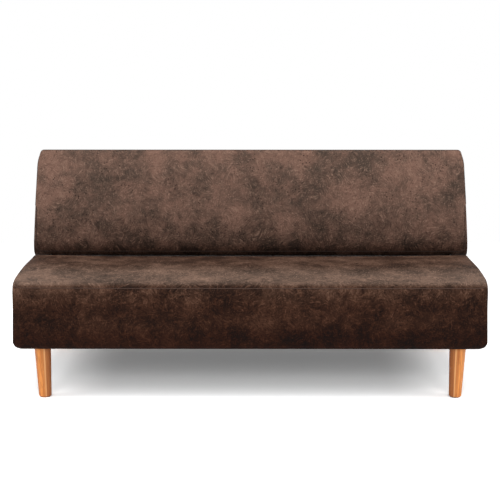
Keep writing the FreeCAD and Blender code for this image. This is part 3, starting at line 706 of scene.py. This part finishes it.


# %% [markdown]
# Each panel has its own tone, with shade and light painted into it: the skirt is far darker than the top
# and darker still towards the hem, seat and back darken towards the fold between them, with an uneven dark
# line along it, and the back is lighter near its top. One colour for all would look like plastic, so the
# tone follows the height of a point.


# %% Tones of the panels
def seat_tone(finish, y, z):
    """Lightest along the front roll, with painted shade towards the fold, and a skirt below the seam made dark by
    painted shade.
    """
    skirt = 1 - finish.between(z, SEAT_TOP - 0.0175, SEAT_TOP + 0.001)
    # Painted shade: the top darkens towards the fold under the back.
    seat_fold_shade = finish.between(y, FRONT + 0.07, SEAT_REAR - 0.20)
    top = 0.95 - seat_fold_shade * 0.565
    # Painted shade: the skirt stays far darker than the top and darkens further towards the hem.
    low = finish.between(z, FLOOR_GAP + 0.04, FLOOR_GAP + 0.105)
    high = finish.between(z, SEAT_TOP - 0.10, SEAT_TOP - 0.02)
    side = 0.079 + low * 0.079 + high * 0.122
    return top * (1 - skirt) + side * skirt


def seat_veins(finish, z):
    """Crackle on the skirt, and little of it above the seam."""
    return 0.42 - finish.between(z, SEAT_TOP - 0.026, SEAT_TOP - 0.010) * 0.34


def back_tone(finish, y, z):
    """Painted light near the top, painted shade low down, and an uneven dark line of painted shadow along the
    fold.
    """
    # Painted light: the top of the back is made lighter.
    back_top_light = finish.between(z, SEAT_TOP + 0.25, SEAT_TOP + 0.345)
    # Painted shade: darker towards the fold, where the seat shades the back.
    back_low_shade = 1 - finish.between(z, SEAT_TOP, SEAT_TOP + 0.20)
    uneven = z + finish.noise(finish.place(), 9.0, 2.0) * 0.03
    # Painted shadow: an uneven dark line along the fold.
    crease_shadow = 1 - finish.between(uneven, SEAT_TOP + 0.043, SEAT_TOP + 0.073)
    return 0.86 + back_top_light * 0.13 - back_low_shade * 0.39 - crease_shadow * 0.20


def back_veins(finish, z):
    """Hardly any crackle."""
    return 0.05 + z * 0.02


def band_tone(finish, y, z):
    """As dark as the skirt, with the same painted shade, and darker towards the bottom."""
    return 0.18 + finish.between(z, FLOOR_GAP, SEAT_TOP) * 0.16


SEAT_RUBBED = tint(122, 97, 83)
BACK_RUBBED = tint(125, 95, 82)
SEAT_WARMTH, BACK_WARMTH = 0.36, 0.16
BACK_DYE, BAND_DYE = 0.845, 0.85
seat_leather = leather("seat_leather", seat_tone, seat_veins, SEAT_WARMTH, SEAT_RUBBED, 1.0)
back_leather = leather("back_leather", back_tone, back_veins, BACK_WARMTH, BACK_RUBBED, BACK_DYE)
band_leather = leather("band_leather", band_tone, seat_veins, SEAT_WARMTH, SEAT_RUBBED, BAND_DYE)
for cushion, cover in ((seat, seat_leather), (back, back_leather), (band, band_leather)):
    cushion.data.materials.append(cover)
    print(cover.name, "on", cushion.name)

# %% [markdown]
# ## The legs
# The legs are turned from oak: round, tapered, and a little off plumb, with the foot nearer to the middle
# of the futon. A cylinder that is scaled at one end would have no eased edge, so a profile of radii is
# carried round an axis that leans.


# %% Turn the legs
LEG_LEAN = 0.005
LEG_FOOT_RADIUS = 0.023
LEG_SEGMENTS = 64
LEG_RINGS = 22
FOOT_SHARES, FOOT_EASING = [0, 0.004, 0.012], [0.0022, 0.0008, 0.0002]
TOP_SHARES, TOP_LEG_EASING = [0.998, 1.0], [0.0002, 0.0008]
# The side of a leg where shade is painted faces inward, turned this far towards the front.
SHADE_SIDE_TURN = 0.35


def turned_leg(low, high):
    """Rings round a leaning axis: x = c(h) + r(h) cos a, y = c + r(h) sin a, z = h.

    The radius runs straight from foot to top with eased edges, and a point on the axis closes each
    end. The third result is how far each point faces the side where shade is painted: the cosine of
    the angle to it.
    """
    outer = math.copysign(1, low[0])
    top_radius = (high[1] - low[1]) / 2
    middle_y = (low[1] + high[1]) / 2
    top_x = (high[0] if outer > 0 else low[0]) - outer * top_radius
    share = np.concatenate([FOOT_SHARES, np.linspace(0.02, 0.994, LEG_RINGS), TOP_SHARES])
    eased = np.concatenate([FOOT_EASING, np.zeros(LEG_RINGS), TOP_LEG_EASING])
    radius = (LEG_FOOT_RADIUS + (top_radius - LEG_FOOT_RADIUS) * share - eased)[:, None]
    axis_x = (top_x - outer * LEG_LEAN * (1 - share))[:, None]
    height = (low[2] + share * (high[2] - low[2]))[:, None]
    angle = np.linspace(0, 2 * np.pi, LEG_SEGMENTS, endpoint=False)
    ring_x = axis_x + radius * np.cos(angle)
    ring_y = middle_y + radius * np.sin(angle)
    rings = np.stack([ring_x, ring_y, height + 0 * angle], axis=2)
    ends = np.array([[axis_x[0, 0], middle_y, low[2]], [axis_x[-1, 0], middle_y, high[2]]])
    table = np.arange(len(share) * LEG_SEGMENTS).reshape(len(share), LEG_SEGMENTS)
    closed = np.concatenate([table, table[:, :1]], axis=1)
    foot, top = np.full((2, LEG_SEGMENTS), [[table.size], [table.size + 1]])
    foot_fan = np.stack([foot, closed[0, 1:], closed[0, :-1]], axis=1)
    top_fan = np.stack([top, closed[-1, :-1], closed[-1, 1:]], axis=1)
    # Painted shade faces inward and a little to the front.
    shade_side_angle = math.pi + SHADE_SIDE_TURN if outer > 0 else -SHADE_SIDE_TURN
    shade_side = np.append(np.tile(np.cos(angle - shade_side_angle), len(share)), [0, 0])
    return np.concatenate([rings.reshape(-1, 3), ends]), [grid_quads(closed.T), foot_fan, top_fan], shade_side


legs = []
for node in ("front_left_leg", "front_right_leg", "rear_left_leg", "rear_right_leg"):
    leg_points, leg_faces, shade_side = turned_leg(*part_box(node))
    leg = make_piece(f"{node}_turned", leg_points, leg_faces, "base")
    # The side of painted shade is stored on the points of each leg.
    stored = leg.data.attributes.new("painted_leg_shade", "FLOAT", "POINT")
    stored.data.foreach_set("value", shade_side.astype(np.float32))
    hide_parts(node)
    legs.append(leg)
print("legs", [leg.name for leg in legs])

# %% [markdown]
# Oak shows long fibres, darker growth lines and short pores, all along the leg, under a satin lacquer.
# A noise that is stretched along Z makes fibres on a round leg without any unwrapping. Painted shade
# runs down the inner front side of each leg, with a painted highlight line at its border. Its place is
# stored on the points.


# %% Oak for the legs
def oak(name):
    """Lacquered oak with fibres, growth lines and pores, and painted shade with a painted highlight line down one
    side.
    """
    finish, place = new_finish(name)
    fibres = finish.noise(finish.stretched(place, (420, 420, 9)), 1.0, 3.0, 0.6)
    growth = finish.noise(finish.stretched(place, (95, 95, 4)), 1.0, 2.0, 0.5)
    pores = finish.noise(finish.stretched(place, (900, 900, 40)), 1.0, 1.0)
    # Painted shade and a painted highlight line, placed by the stored side of each leg.
    shade_side = finish.node("ShaderNodeAttribute", {"attribute_name": "painted_leg_shade"}, {}, "Fac")
    colour = finish.mix(finish.between(growth, 0.36, 0.64), tint(208, 122, 56), tint(240, 156, 81))
    colour = finish.mix(finish.between(fibres, 0.40, 0.68) * 0.6, colour, tint(164, 92, 42))
    colour = finish.mix(finish.between(pores, 0.62, 0.72) * 0.4, colour, tint(104, 56, 26))
    # Painted shade over the inner front half of the leg.
    colour = finish.mix(finish.between(shade_side, 0.08, 0.26) * 0.45, colour, tint(146, 82, 36))
    # Painted highlight: a pale line at the border of the painted shade.
    pale = finish.between(shade_side, 0.50, 0.58) * (1 - finish.between(shade_side, 0.66, 0.72))
    colour = finish.mix(pale * 0.45, colour, tint(240, 186, 130))
    # Painted shade, darkest along the inner front side.
    colour = finish.mix(finish.between(shade_side, 0.66, 0.74) * 0.48, colour, tint(122, 64, 28))
    bump = (fibres * 0.6 - pores * 0.4, 0.15, 0.0006)
    return finish.surface(colour, 0.42 + fibres * 0.1, bump, gloss=0.3)


leg_oak = oak("leg_oak")
for leg in legs:
    leg.data.materials.append(leg_oak)
print("oak on", len(legs), "legs")

# %% [markdown]
# ## The seams
# The top of the seat is sewn to its skirt, and the front of the back to its sides. The seam is a thin
# ridge all round the edge. Its path is a rounded rectangle that a Shrinkwrap brings onto the swollen
# cover, whatever shape that has. A small circle is then carried along it.

# %% Sew the seams
SEAM_RADIUS = 0.0013
SEAM_SIDES = 8
SEAM_CORNER = 0.03
SEAM_SPACING = 0.008


def rounded_rectangle(half_x, low, high, radius, spacing):
    """Closed path in a plane: straight runs and quarter circles, evenly spaced by their length."""
    lengths = np.array([2 * (half_x - radius), high - low - 2 * radius])
    arc = radius * np.pi / 2
    edges = np.cumsum([0, lengths[0], arc, lengths[1], arc, lengths[0], arc, lengths[1], arc])
    place = np.linspace(0, edges[-1], int(edges[-1] / spacing), endpoint=False)
    run = np.searchsorted(edges, place, side="right") - 1
    along = place - edges[run]
    way = np.repeat([[1.0, 0.0], [0.0, 1.0], [-1.0, 0.0], [0.0, -1.0]], 2, axis=0)[run]
    left = np.stack([-way[:, 1], way[:, 0]], axis=1)
    corner_x, near, far = half_x - radius, low + radius, high - radius
    starts = np.array([
        [-corner_x, low], [corner_x, low], [half_x, near], [half_x, far],
        [corner_x, high], [-corner_x, high], [-half_x, far], [-half_x, near],
    ])[run]
    angle = along / radius
    bend = (run % 2 == 1)[:, None]
    straight = starts + way * along[:, None]
    curve = starts + radius * (way * np.sin(angle)[:, None] + left * (1 - np.cos(angle))[:, None])
    return np.where(bend, curve, straight)


def onto_surface(path, cushion):
    """Path points moved to the nearest place on a cushion."""
    mesh = bpy.data.meshes.new("path")
    mesh.from_pydata(path, [], [])
    helper = bpy.data.objects.new("path", mesh)
    scene.collection.objects.link(helper)
    wrap = helper.modifiers.new("wrap", "SHRINKWRAP")
    wrap.target = cushion
    wrap.wrap_method = "NEAREST_SURFACEPOINT"
    bpy.context.view_layer.update()
    wrapped = read_points(helper.evaluated_get(bpy.context.evaluated_depsgraph_get()).data)
    bpy.data.objects.remove(helper)
    return wrapped


def seam_ridge(name, path, axis, body):
    """Circle carried along a closed path, in the plane of the path's outward side and a fixed axis."""
    ahead = np.roll(path, -1, axis=0) - np.roll(path, 1, axis=0)
    ahead /= np.linalg.norm(ahead, axis=1, keepdims=True)
    outward = np.cross(ahead, axis)
    outward /= np.linalg.norm(outward, axis=1, keepdims=True)
    third = np.cross(outward, ahead)
    angle = np.linspace(0, 2 * np.pi, SEAM_SIDES, endpoint=False)
    ring = outward[:, None] * np.cos(angle)[None, :, None] + third[:, None] * np.sin(angle)[None, :, None]
    points = path[:, None] + SEAM_RADIUS * ring
    table = np.arange(len(path) * SEAM_SIDES).reshape(len(path), SEAM_SIDES)
    closed = np.concatenate([table, table[:1]], axis=0)
    closed = np.concatenate([closed, closed[:, :1]], axis=1)
    return make_piece(name, points, [grid_quads(closed)[:, ::-1]], body)


SEAM_DROP = 0.0155
SEAM_HALF = HALF_WIDTH - 0.002
seat_path = rounded_rectangle(SEAM_HALF, FRONT + 0.004, SEAT_REAR - 0.004, SEAM_CORNER, SEAM_SPACING)
seat_path = np.insert(seat_path, 2, SEAT_TOP - SEAM_DROP, axis=1)
seat_seam = seam_ridge("seat_seam", onto_surface(seat_path, seat), np.array([0, 0, 1.0]), "base")
seam_foot, seam_top = back_low[1] + 0.006, back_high[1] - 0.001
flat_path = rounded_rectangle(SEAM_HALF, seam_foot, seam_top, SEAM_CORNER, SEAM_SPACING)
seam_depth = 0.005 + 0.011 * smooth_step(flat_path[:, 1], back_high[1] - 0.05, back_high[1] - 0.01)
flat_path = np.insert(flat_path, 2, BACK_FACE - seam_depth, axis=1)
back_path = onto_surface(turned(flat_path, FOLD), back)
back_axis = np.array([0, -math.sin(FOLD), math.cos(FOLD)])
back_seam = seam_ridge("back_seam", back_path, back_axis, "back")
print("seams", len(seat_path), "and", len(back_path), "rings")

# %% [markdown]
# A seam is the same leather, turned under. At its size only wrinkles show, so one noise between a dark
# and a pale brown is enough. The seam of the back is darker.


# %% Leather of the seams
def seam_leather(name, dark, pale):
    """Leather of a seam ridge, with the wrinkles of a turned edge."""
    finish, place = new_finish(name)
    wrinkle = finish.noise(place, 240.0, 3.0, 0.6)
    colour = finish.mix(wrinkle, dark, pale)
    return finish.surface(colour, 0.72 - wrinkle * 0.1, (wrinkle, 0.3, 0.0008), gloss=0.12)


seat_seam.data.materials.append(seam_leather("seat_seam_leather", tint(50, 37, 31), tint(84, 65, 56)))
back_seam.data.materials.append(seam_leather("back_seam_leather", tint(28, 20, 17), tint(54, 41, 36)))
print("leather on", seat_seam.name, "and", back_seam.name)

# %% [markdown]
# ## The lining under the base
# A thin black lining closes the base from below: one flat sheet, stapled behind the hem, with an opening
# at each leg plate and a little sag between the bearers. A cloth simulation would be much for so little
# sag. Here it is a grid whose height is a product of sines, without the squares in an opening.

# %% Stretch the lining
LINING_SAG = 0.0015
LINING_BAYS = 3
LINING_INSIDE = 0.0003
LINING_GRID = (206, 94)
PLATE_OPENING = 0.062
PLATE_MARGIN = 0.002
lining_low, lining_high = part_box("dust_cover")
lining_size = (lining_high[0] - lining_low[0], lining_high[1] - lining_low[1])
lining_x = np.linspace(lining_low[0], lining_high[0], LINING_GRID[0] + 1)
lining_y = np.linspace(lining_low[1], lining_high[1], LINING_GRID[1] + 1)
across, along = np.meshgrid(lining_x, lining_y, indexing="ij")
sag = np.abs(np.sin(np.pi * LINING_BAYS * (across - lining_low[0]) / lining_size[0]))
sag = sag * np.sin(np.pi * (along - lining_low[1]) / lining_size[1])
height = lining_high[2] - LINING_INSIDE - LINING_SAG * sag
lining_points = np.stack([across, along, height], axis=2).reshape(-1, 3)


def beside_plate(places, plate_edge):
    """True where the middle of a square of the grid lies in the strip of the openings, on either side."""
    reach = np.abs(places[:-1, :-1] + places[1:, 1:]) / 2
    return (reach > plate_edge - PLATE_OPENING) & (reach < plate_edge + PLATE_MARGIN)


_, plate_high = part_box("leg_plates")
opening = beside_plate(across, plate_high[0]) & beside_plate(along, plate_high[1])
lining_table = np.arange(across.size).reshape(across.shape)
lining_quads = grid_quads(lining_table)[~opening.ravel()][:, ::-1]
used, renumbered = np.unique(lining_quads, return_inverse=True)
lining_faces = [renumbered.reshape(-1, 4)]
lining = make_piece("base_lining", lining_points[used], lining_faces, "base")
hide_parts("dust_cover")
print("lining", [round(v, 3) for v in lining_size], "m,", len(lining_quads), "squares")

# %% [markdown]
# ## The hard pieces
# Rails, slats, boards, hinges, bolts, glides and bumpers keep the shape of the construction model. Each
# gets the finish of what it is made of, named by the slot in the record: sawn pine, hardboard, black
# painted steel, bright steel, moulded plastic and rubber.


# %% Finishes of the hard pieces
def sawn_pine(name):
    """Pale pine: growth lines along X and knots that are scattered cells."""
    finish, place = new_finish(name)
    lines = finish.noise(finish.stretched(place, (5, 160, 160)), 1.0, 3.0, 0.6)
    saw = finish.noise(finish.stretched(place, (700, 60, 60)), 1.0, 1.0)
    knots = 1 - finish.between(finish.cells(finish.stretched(place, (2.5, 7, 7)), 1.0, "F1"), 0.05, 0.16)
    colour = finish.mix(finish.between(lines, 0.35, 0.65), tint(201, 163, 112), tint(226, 197, 150))
    colour = finish.mix(knots * 0.7, colour, tint(128, 80, 44))
    return finish.surface(colour, 0.7 + saw * 0.1, (saw + lines, 0.2, 0.0006))


def pressed_board(name):
    """Hardboard: fine matted fibres in brown."""
    finish, place = new_finish(name)
    fibres = finish.noise(place, 420.0, 4.0, 0.7)
    patches = finish.noise(place, 18.0, 2.0)
    colour = finish.mix(fibres, tint(112, 78, 50), tint(151, 112, 76))
    colour = finish.mix(patches * 0.3, colour, tint(96, 64, 40))
    return finish.surface(colour, 0.6 + fibres * 0.15, (fibres, 0.15, 0.0004))


def painted_steel(name):
    """Black paint with orange-peel texture, rubbed thin in small spots."""
    finish, place = new_finish(name)
    peel = finish.noise(place, 650.0, 2.0)
    rubbed = finish.between(finish.noise(place, 60.0, 4.0, 0.7), 0.66, 0.74)
    colour = finish.mix(rubbed, tint(30, 30, 32), tint(96, 94, 92))
    return finish.surface(colour, 0.42 + peel * 0.12, (peel, 0.12, 0.0004), metal=rubbed * 0.8)


def bright_steel(name):
    """Zinc-bright steel with fine drawn lines and dull patches."""
    finish, place = new_finish(name)
    lines = finish.noise(finish.stretched(place, (60, 900, 900)), 1.0, 2.0)
    dull = finish.noise(place, 90.0, 3.0, 0.6)
    colour = finish.mix(dull, tint(176, 178, 182), tint(208, 209, 211))
    return finish.surface(colour, 0.24 + lines * 0.2, (lines, 0.08, 0.0002), metal=1.0)


def moulded(name, dark, pale, roughness, scale):
    """Moulded plastic, rubber or foam: a fine eroded texture and a faint bloom."""
    finish, place = new_finish(name)
    texture = finish.noise(place, scale, 3.0, 0.6)
    bloom = finish.noise(place, 40.0, 2.0)
    colour = finish.mix(bloom, dark, pale)
    return finish.surface(colour, roughness + texture * 0.12, (texture, 0.15, 0.0004))


def lining_cloth(name):
    """Black spun lining: matted fibres pressed in a dotted pattern."""
    finish, place = new_finish(name)
    fibres = finish.noise(finish.stretched(place, (500, 220, 220)), 1.0, 4.0, 0.7)
    dots = finish.between(finish.cells(place, 420.0, "F1"), 0.2, 0.45)
    colour = finish.mix(fibres, tint(14, 14, 15), tint(44, 44, 46))
    bump = (fibres * 0.6 + dots * 0.4, 0.3, 0.0006)
    return finish.surface(colour, 0.85 + fibres * 0.1, bump, gloss=0.1)


finishes = {
    "frame_pine": sawn_pine("frame_pine"),
    "hardboard": pressed_board("hardboard"),
    "hinge_steel": painted_steel("hinge_steel"),
    "bright_steel": bright_steel("bright_steel"),
    "glide_plastic": moulded("glide_plastic", tint(44, 32, 24), tint(60, 46, 36), 0.5, 500.0),
    "bumper_rubber": moulded("bumper_rubber", tint(24, 24, 25), tint(40, 40, 41), 0.75, 300.0),
    "lining": lining_cloth("lining"),
    "leg_oak": leg_oak,
    "cover": seat_leather,
    "foam": moulded("foam", tint(226, 212, 168), tint(240, 230, 196), 0.9, 260.0),
    "wadding": moulded("wadding", tint(226, 226, 222), tint(244, 244, 242), 0.9, 120.0),
    "felt": moulded("felt", tint(104, 101, 96), tint(132, 128, 122), 0.9, 220.0),
}
lining.data.materials.append(finishes["lining"])
for subpart in frame["record"]["subparts"]:
    node = frame["nodes"][subpart["node"]]
    node.data.materials.clear()
    node.data.materials.append(finishes[subpart["material_slot"]])

# %% [markdown]
# ## The studio
# The futon stands on a white floor with no horizon. A square floor would show its corners in other views,
# so it is an oval. What the camera and reflections see of the floor is brighter than the matt white that
# lights the futon, with a little haze in it, and it keeps the soft shadow. From below it is clear.


# %% Floor
RAY_KINDS = ("Camera", "Glossy", "Transmission")
WHITE = (1.0, 1.0, 1.0, 1.0)
FLOOR_SIDES = 96
FLOOR_RADII = (4.2, 3.6)
FLOOR_MIDDLE = -0.75
MATT_WHITE = (0.8, 0.8, 0.8, 1.0)
SEEN_WHITE = (1.9, 1.9, 1.9, 1.0)
HAZE = 0.08


def direct_rays(finish):
    """1 for the rays that show the surroundings themselves: to the camera, in gloss and through glass."""
    path = finish.node("ShaderNodeLightPath", {}, {})
    rays = [Socket(finish, path.output.node.outputs[f"Is {kind} Ray"]) for kind in RAY_KINDS]
    return rays[0] + rays[1] + rays[2]


floor_angle = np.linspace(0, 2 * np.pi, FLOOR_SIDES, endpoint=False)
floor_x = FLOOR_RADII[0] * np.cos(floor_angle)
floor_y = FLOOR_RADII[1] * np.sin(floor_angle) + FLOOR_MIDDLE
floor_mesh = bpy.data.meshes.new("studio_floor")
floor_mesh.from_pydata(np.stack([floor_x, floor_y, 0 * floor_angle], axis=1), [], [range(FLOOR_SIDES)])
floor = bpy.data.objects.new("studio_floor", floor_mesh)
scene.collection.objects.link(floor)

ground = Finish(bpy.data.materials.new("studio_floor"))
matt = ground.node("ShaderNodeBsdfDiffuse", {}, {"Color": MATT_WHITE})
bright = ground.node("ShaderNodeBsdfDiffuse", {}, {"Color": SEEN_WHITE})
haze = ground.node("ShaderNodeEmission", {}, {"Color": WHITE, "Strength": 1.0})
pale = ground.node("ShaderNodeMixShader", {}, {0: HAZE, 1: bright, 2: haze})
from_above = ground.node("ShaderNodeMixShader", {}, {0: direct_rays(ground), 1: matt, 2: pale})
below = ground.node("ShaderNodeNewGeometry", {}, {}, "Backfacing")
clear = ground.node("ShaderNodeBsdfTransparent", {}, {})
one_sided = ground.node("ShaderNodeMixShader", {}, {0: below, 1: from_above, 2: clear})
ground.node("ShaderNodeOutputMaterial", {}, {"Surface": one_sided})
floor_mesh.materials.append(ground.owner)
print("floor", FLOOR_RADII)

# %% [markdown]
# The surroundings are plain white for the camera and for reflections, and dimmer as light on the futon.
# Most light comes from a large soft lamp above and one in front, and a little from two at the sides.

# %% Surroundings and lamps
AMBIENT = 0.20
sky = Finish(bpy.data.worlds.new("studio"))
dim = sky.node("ShaderNodeBackground", {}, {"Color": WHITE, "Strength": AMBIENT})
white = sky.node("ShaderNodeBackground", {}, {"Color": WHITE, "Strength": 1.0})
mixed = sky.node("ShaderNodeMixShader", {}, {0: direct_rays(sky), 1: dim, 2: white})
sky.node("ShaderNodeOutputWorld", {}, {"Surface": mixed})
scene.world = sky.owner


def soft_light(name, place, target, size, power):
    """Rectangular lamp that looks from its place at a target."""
    data = bpy.data.lights.new(name, "AREA")
    data.shape = "RECTANGLE"
    data.size, data.size_y = size
    data.energy = power
    lamp = bpy.data.objects.new(name, data)
    lamp.location = place
    away = np.array(target) - place
    level = math.hypot(away[0], away[1])
    lamp.rotation_euler = (math.atan2(level, -away[2]), 0, math.atan2(away[1], away[0]) - math.pi / 2)
    scene.collection.objects.link(lamp)
    print(name, power, "W")


soft_light("overhead_light", (0, -1.8, 4.2), (0, -1.0, 0.0), (4.5, 7.0), 165)
soft_light("front_light", (0, -5.2, 2.2), (0, 0, 0.2), (5.0, 2.0), 125)
soft_light("left_light", (-2.65, -0.6, 2.2), (0, 0, 0.2), (1.1, 1.5), 28)
soft_light("right_light", (2.65, -0.6, 2.2), (0, 0, 0.2), (1.1, 1.5), 28)
scene.view_settings.view_transform = "Standard"
